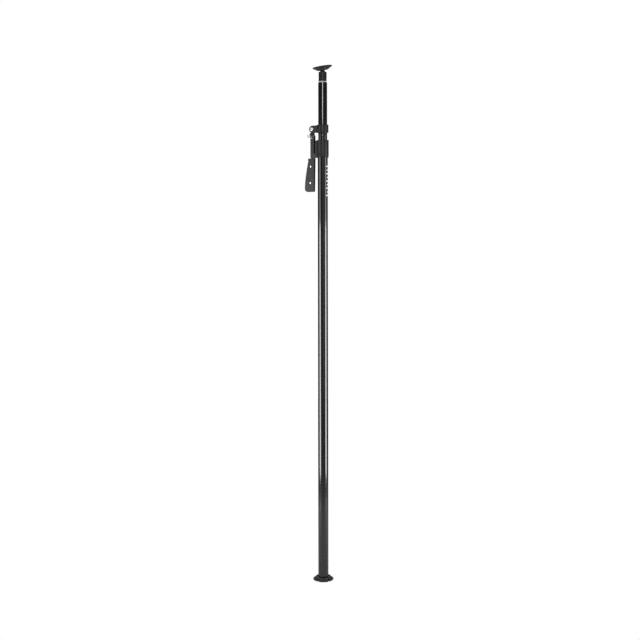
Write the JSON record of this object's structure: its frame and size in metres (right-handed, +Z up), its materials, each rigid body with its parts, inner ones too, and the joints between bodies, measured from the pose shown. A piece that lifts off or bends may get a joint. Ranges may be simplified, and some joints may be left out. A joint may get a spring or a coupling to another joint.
{
  "type": "telescopic tension pole",
  "caption": "Black two-tube telescopic pole that wedges between floor and ceiling, with a cam lever clamp, a lock button, a sprung neck and rubber cups at both ends.",
  "frame": {"origin": "centre of the foot's contact face, on the pole's axis", "axes": "+Z up the pole towards the ceiling pad; the clamping lever hangs on the -X side and its pivots lie along Y"},
  "size_m": [0.1374, 0.0892, 2.273],
  "materials": {
    "black_anodised": "gloss black anodised aluminium tube",
    "die_cast_black": "satin black powder-coated die casting",
    "rubber": "matte black rubber",
    "black_nylon": "black glass-filled nylon",
    "light_nylon": "pale grey nylon",
    "neck_plastic": "matte black anodised aluminium",
    "grip_plastic": "textured dark grey plastic",
    "blackened_steel": "blackened steel",
    "steel": "bright steel",
    "spring_steel": "spring steel",
    "nickel": "nickel plate",
    "bright_bolt": "zinc-plated steel",
    "bright_rivet": "bright aluminium rivet",
    "bronze": "sintered bronze"
  },
  "bodies": {
    "outer_pole": {"outer_tube": "black_anodised", "foot_plug": "black_nylon", "foot_pin": "steel", "foot_pad": "rubber", "lower_bracket": "die_cast_black", "bracket_screws": "blackened_steel", "top_glide_bush": "black_nylon", "pivot_sleeve": "steel", "catch_ferrule": "nickel"},
    "lever": {"lever_blade": "blackened_steel", "pivot_bush": "bronze", "grip_scale_front": "grip_plastic", "grip_scale_rear": "grip_plastic", "grip_rivets": "bright_rivet"},
    "catch": {"catch_button": "nickel", "catch_stem": "steel", "catch_plate": "steel", "catch_pin": "steel", "catch_clip": "spring_steel", "catch_spring": "spring_steel"},
    "upper_clamp": {"clamp_collar": "die_cast_black", "clamp_liner": "black_nylon", "grip_shoes": "steel", "follower_bolt": "bright_bolt", "follower_nut": "bright_bolt"},
    "roller": {"follower_roller": "steel"},
    "inner_pole": {"inner_tube": "black_anodised", "tail_glide": "black_nylon", "tail_pin": "steel", "guide_ring": "light_nylon", "spring_seat": "black_nylon", "seat_pin": "steel"},
    "plunger": {"plunger_neck": "neck_plastic", "thrust_spring": "spring_steel", "swivel_screw": "steel"},
    "head_swivel": {"head_hub": "black_nylon", "tilt_pin": "steel"},
    "head_tilt": {"head_disc": "black_nylon", "head_pad": "rubber"}
  },
  "joints": [
    {"name": "lever_swing", "type": "hinge", "parent": "outer_pole", "child": "lever", "pos_m": [-0.052, 0, 1.958], "axis": [0, 1, 0], "range_deg": [0, 105]},
    {"name": "catch_press", "type": "slide", "parent": "outer_pole", "child": "catch", "axis": [0, 1, 0], "range_m": [0, 0.005], "stiffness_N_per_m": 800, "springref_m": -0.004, "deforming": ["catch_spring"]},
    {"name": "clamp_lift", "type": "slide", "parent": "outer_pole", "child": "upper_clamp", "axis": [0, 0, 1], "range_m": [-0.0081, 0]},
    {"name": "roller_spin", "type": "hinge", "parent": "upper_clamp", "child": "roller", "pos_m": [-0.052, 0, 1.9915], "axis": [0, 1, 0], "continuous": true},
    {"name": "extension", "type": "slide", "parent": "upper_clamp", "child": "inner_pole", "axis": [0, 0, 1], "range_m": [-0.16, 1.44]},
    {"name": "plunger_press", "type": "slide", "parent": "inner_pole", "child": "plunger", "axis": [0, 0, 1], "range_m": [-0.025, 0], "stiffness_N_per_m": 10000, "springref_m": 0.004, "deforming": ["thrust_spring"]},
    {"name": "pad_spin", "type": "hinge", "parent": "plunger", "child": "head_swivel", "pos_m": [0, 0, 2.241], "axis": [0, 0, 1], "continuous": true},
    {"name": "pad_tilt", "type": "hinge", "parent": "head_swivel", "child": "head_tilt", "pos_m": [0, 0, 2.253], "axis": [0.8526, -0.5225, 0], "range_deg": [-30, 10]}
  ],
  "couplings": [
    {"joint": "clamp_lift", "follows": "lever_swing", "m_per_rad": -0.0043654}
  ]
}
